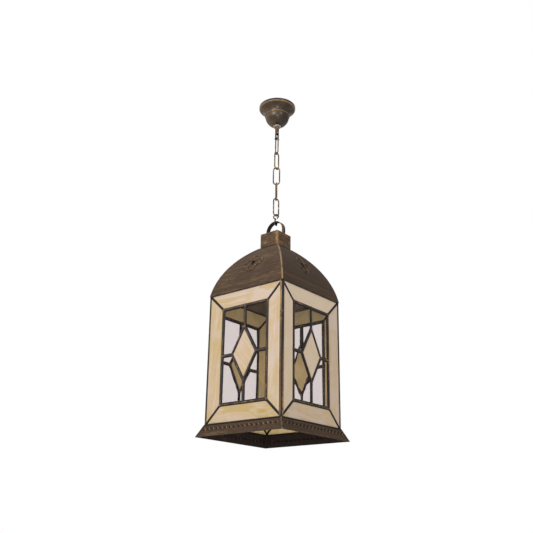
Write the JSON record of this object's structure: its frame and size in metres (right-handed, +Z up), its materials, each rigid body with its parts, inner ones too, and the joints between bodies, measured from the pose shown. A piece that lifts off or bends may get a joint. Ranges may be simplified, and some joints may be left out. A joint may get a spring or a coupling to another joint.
{
  "type": "pendant light",
  "caption": "Square leaded-glass lantern with a curved metal dome and a flared skirt, hung from a round ceiling canopy on a chain of long links and a twisted hook.",
  "frame": {"origin": "on the axis of the hanging chain, in the ceiling plane, midway between the two bracket slots", "axes": "+Z up; -Y is the front face of the lantern and -X its left face, the two that the picture shows"},
  "size_m": [0.2606, 0.2606, 0.9086],
  "materials": {
    "antique_bronze_sheet": "brushed antique bronze lacquer",
    "dark_bronze_wire": "dark oil-rubbed bronze",
    "dark_came": "blackened patina with bronze rub",
    "bronze_solder": "bronze-coloured solder bead",
    "opal_glass": "wispy opalescent beige glass",
    "clear_glass": "clear glass",
    "zinc_steel": "zinc plated",
    "brass": "plain brass",
    "nylon": "moulded nylon",
    "phenolic": "moulded phenolic"
  },
  "bodies": {
    "ceiling_mount": {"ceiling_bracket": "zinc_steel", "hanger_tube": "dark_bronze_wire", "tube_locknuts": "zinc_steel", "loop_pin": "dark_bronze_wire", "terminal_block": "nylon", "terminal_screws": "brass"},
    "canopy_set": {"canopy": "antique_bronze_sheet", "canopy_collar": "nylon"},
    "link_1": {"chain_link_1": "dark_bronze_wire"},
    "link_2": {"chain_link_2": "dark_bronze_wire"},
    "link_3": {"chain_link_3": "dark_bronze_wire"},
    "link_4": {"chain_link_4": "dark_bronze_wire"},
    "link_5": {"chain_link_5": "dark_bronze_wire"},
    "hook": {"twisted_hook": "dark_bronze_wire"},
    "lantern": {"bail": "dark_bronze_wire", "cap_walls": "antique_bronze_sheet", "cap_plate": "antique_bronze_sheet", "cord_bushing": "nylon", "lamp_bridge": "zinc_steel", "lamp_nipple": "zinc_steel", "nipple_nuts": "zinc_steel", "lampholder_cap": "phenolic", "lampholder_body": "phenolic", "screw_shell": "brass", "contact_insulator": "phenolic", "centre_contact": "brass", "dome_ridges": "bronze_solder", "top_frame": "antique_bronze_sheet", "bottom_frame": "antique_bronze_sheet", "skirt_seams": "bronze_solder", "dome_panel_front": "antique_bronze_sheet", "dome_panel_right": "antique_bronze_sheet", "dome_panel_back": "antique_bronze_sheet", "dome_panel_left": "antique_bronze_sheet", "corner_came_front_right": "dark_came", "corner_came_back_right": "dark_came", "corner_came_back_left": "dark_came", "corner_came_front_left": "dark_came", "came_lattice_front": "dark_came", "came_lattice_right": "dark_came", "came_lattice_back": "dark_came", "came_lattice_left": "dark_came", "opal_border_front": "opal_glass", "opal_border_right": "opal_glass", "opal_border_back": "opal_glass", "opal_border_left": "opal_glass", "clear_panes_front": "clear_glass", "clear_panes_right": "clear_glass", "clear_panes_back": "clear_glass", "clear_panes_left": "clear_glass", "opal_diamond_front": "opal_glass", "opal_diamond_right": "opal_glass", "opal_diamond_back": "opal_glass", "opal_diamond_left": "opal_glass", "skirt_panel_front": "antique_bronze_sheet", "skirt_panel_right": "antique_bronze_sheet", "skirt_panel_back": "antique_bronze_sheet", "skirt_panel_left": "antique_bronze_sheet"}
  },
  "joints": [
    {"name": "canopy_slide", "type": "slide", "parent": "ceiling_mount", "child": "canopy_set", "axis": [0, 0, -1], "range_m": [0, 0.025]},
    {"name": "pin_swing", "type": "hinge", "parent": "ceiling_mount", "child": "link_1", "pos_m": [0, 0, -0.1002], "axis": [-0.8829, 0.4695, 0], "range_deg": [-60, 60]},
    {"name": "link_1_2_swing", "type": "hinge", "parent": "link_1", "child": "link_2", "pos_m": [0, 0, -0.14665], "axis": [0.4695, 0.8829, 0], "range_deg": [-60, 60]},
    {"name": "link_2_3_swing", "type": "hinge", "parent": "link_2", "child": "link_3", "pos_m": [0, 0, -0.19285], "axis": [1, 0, 0], "range_deg": [-60, 60]},
    {"name": "link_3_4_swing", "type": "hinge", "parent": "link_3", "child": "link_4", "pos_m": [0, 0, -0.23905], "axis": [0.5736, -0.8192, 0], "range_deg": [-60, 60]},
    {"name": "link_4_5_swing", "type": "hinge", "parent": "link_4", "child": "link_5", "pos_m": [0, 0, -0.28525], "axis": [-0.682, -0.7314, 0], "range_deg": [-60, 60]},
    {"name": "hook_eye_swing", "type": "hinge", "parent": "link_5", "child": "hook", "pos_m": [0, 0, -0.33145], "axis": [-0.9659, 0.2588, 0], "range_deg": [-60, 60]},
    {"name": "lantern_swing", "type": "hinge", "parent": "hook", "child": "lantern", "pos_m": [0, 0, -0.3533], "axis": [0.9063, 0.4226, 0], "range_deg": [-30, 30]}
  ]
}
